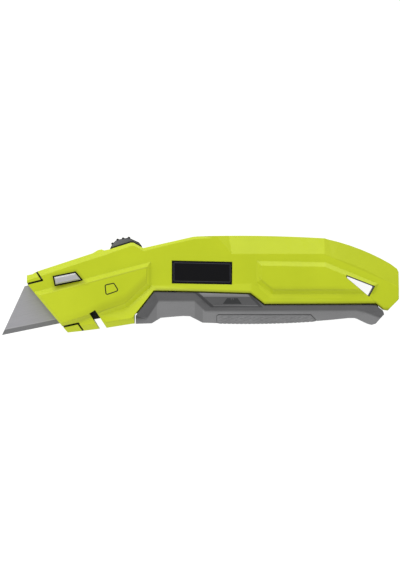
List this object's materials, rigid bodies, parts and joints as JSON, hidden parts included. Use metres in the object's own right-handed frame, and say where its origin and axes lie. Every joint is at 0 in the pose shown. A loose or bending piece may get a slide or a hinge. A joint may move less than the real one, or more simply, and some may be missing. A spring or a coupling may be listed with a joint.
{
  "type": "utility knife",
  "caption": "Retractable utility knife with a two-part cast body, a sliding blade carriage, a quick-change release button and a swing-down magazine for spare blades.",
  "frame": {"origin": "centre of the knife's plan box, on the surface it lies on", "axes": "+X from the blade tip to the butt, +Y from the magazine to the knife's back, +Z from the rest surface to the upper side"},
  "size_m": [0.1732, 0.0434, 0.022],
  "materials": {
    "body_paint": "satin",
    "plate_black": "satin",
    "steel": "satin",
    "blade_steel": "satin",
    "button_metal": "satin",
    "carrier_black": "matte",
    "slider_gray": "matte",
    "magazine_gray": "matte",
    "grip_gray": "matte"
  },
  "bodies": {
    "body": {"front_shell": "body_paint", "back_shell": "body_paint", "brand_plate": "plate_black", "body_screws": "steel", "detent_plate": "steel", "hinge_pin": "steel", "release_spring": "steel", "magazine_clip": "steel"},
    "carriage": {"blade_carrier": "carrier_black", "carrier_cover": "carrier_black", "cutting_blade": "blade_steel", "lock_spring": "steel", "thumb_spring": "steel", "detent_spring": "steel"},
    "lock": {"lock_pin": "steel"},
    "slider": {"thumb_slider": "slider_gray"},
    "release": {"release_button": "button_metal"},
    "magazine_body": {"magazine": "magazine_gray", "grip_pad": "grip_gray", "blade_tray": "carrier_black", "spare_blades": "blade_steel"}
  },
  "joints": [
    {"name": "carriage_slide", "type": "slide", "parent": "body", "child": "carriage", "axis": [0.9799, 0.1994, 0], "range_m": [0, 0.0275], "deforming": ["detent_spring"]},
    {"name": "slider_press", "type": "slide", "parent": "carriage", "child": "slider", "axis": [0.1994, -0.9799, 0], "range_m": [0, 0.001], "stiffness_N_per_m": 1200, "springref_m": -0.0008, "deforming": ["thumb_spring"]},
    {"name": "release_press", "type": "slide", "parent": "body", "child": "release", "axis": [0, 0, -1], "range_m": [0, 0.0012], "stiffness_N_per_m": 1200, "springref_m": -0.0008, "deforming": ["release_spring"]},
    {"name": "lock_press", "type": "slide", "parent": "carriage", "child": "lock", "axis": [0, 0, -1], "range_m": [0, 0.0012], "deforming": ["lock_spring"]},
    {"name": "magazine_hinge", "type": "hinge", "parent": "body", "child": "magazine_body", "pos_m": [0.0755, -0.0132, 0.011], "axis": [0, 0, 1], "range_deg": [0, 75], "deforming": ["magazine_clip"]}
  ],
  "couplings": [
    {"joint": "lock_press", "follows": "release_press", "ratio": 1}
  ]
}
